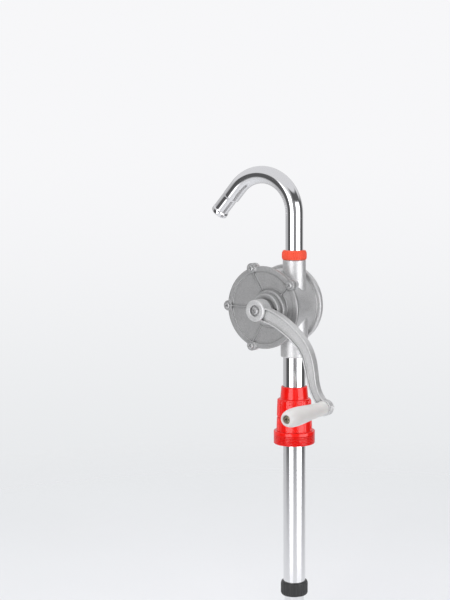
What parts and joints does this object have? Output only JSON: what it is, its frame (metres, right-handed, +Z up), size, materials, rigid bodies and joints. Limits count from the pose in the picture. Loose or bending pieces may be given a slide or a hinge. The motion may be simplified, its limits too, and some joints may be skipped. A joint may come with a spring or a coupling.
{
  "type": "drum barrel pump",
  "caption": "Hand-cranked rotary vane pump on a telescopic suction tube, with a swivelling hooked spout and a clamping bung adapter.",
  "frame": {"origin": "on the suction tube's axis, in the plane where the adapter's flange seats on the drum's bung", "axes": "+Z up along the suction tube, -Y towards the crank and its grip, -X towards the spout's mouth at rest"},
  "size_m": [0.2423, 0.2055, 0.7145],
  "materials": {
    "cast_aluminium": "sand cast, matt",
    "crank_aluminium": "fettled casting, satin",
    "chrome_tube": "polished chrome plate",
    "red_plastic": "glossy moulding",
    "collar_plastic": "satin ribbed moulding",
    "white_plastic": "satin",
    "steel": "turned",
    "zinc_steel": "yellow zinc plate, dulled",
    "bronze": "machined",
    "black_rubber": "matt",
    "vane_plastic": "matt",
    "black_plastic": "satin"
  },
  "bodies": {
    "adapter": {"bung_adapter": "red_plastic", "clamp_ring": "black_rubber"},
    "clamp_nut": {"clamp_nut": "red_plastic"},
    "pump": {"pump_body": "cast_aluminium", "front_cover": "cast_aluminium", "cover_gasket": "black_rubber", "cover_screws": "steel", "front_bush": "bronze", "rear_bush": "bronze", "shaft_seal": "black_rubber", "gland_nut": "cast_aluminium", "spout_seal": "black_rubber", "suction_tube": "chrome_tube", "tube_lock_upper": "black_plastic", "lock_seal_upper": "black_rubber"},
    "crank": {"shaft": "steel", "rotor": "cast_aluminium", "rotor_key": "steel", "vanes": "vane_plastic", "vane_springs": "steel", "crank_arm": "crank_aluminium", "crank_screw": "steel", "crank_washer": "steel", "grip_bolt": "zinc_steel", "grip_nut": "zinc_steel"},
    "grip": {"grip": "white_plastic"},
    "spout": {"spout": "chrome_tube"},
    "collar": {"spout_collar": "collar_plastic"},
    "middle_section": {"middle_tube": "chrome_tube", "tube_lock_lower": "black_plastic", "lock_seal_lower": "black_rubber"},
    "inner_section": {"inner_tube": "chrome_tube", "strainer_body": "red_plastic", "strainer_mesh": "steel"}
  },
  "joints": [
    {"name": "height_slide", "type": "slide", "parent": "adapter", "child": "pump", "axis": [0, 0, 1], "range_m": [-0.042, 0.19]},
    {"name": "clamp_nut_turn", "type": "hinge", "parent": "adapter", "child": "clamp_nut", "pos_m": [0, 0, 0.03], "axis": [0, 0, 1], "range_deg": [-90, 90]},
    {"name": "crank_turn", "type": "hinge", "parent": "pump", "child": "crank", "pos_m": [-0.0163, 0, 0.179], "axis": [0, 1, 0], "continuous": true},
    {"name": "grip_spin", "type": "hinge", "parent": "crank", "child": "grip", "pos_m": [0.0903, -0.1, 0.0517], "axis": [0, 1, 0], "continuous": true},
    {"name": "spout_swivel", "type": "hinge", "parent": "pump", "child": "spout", "pos_m": [0, 0, 0.245], "axis": [0, 0, 1], "range_deg": [-190, 10]},
    {"name": "collar_turn", "type": "hinge", "parent": "pump", "child": "collar", "pos_m": [0, 0, 0.25], "axis": [0, 0, 1], "range_deg": [-90, 90]},
    {"name": "middle_extend", "type": "slide", "parent": "pump", "child": "middle_section", "axis": [0, 0, -1], "range_m": [0, 0.277]},
    {"name": "inner_extend", "type": "slide", "parent": "middle_section", "child": "inner_section", "axis": [0, 0, -1], "range_m": [0, 0.276]}
  ]
}
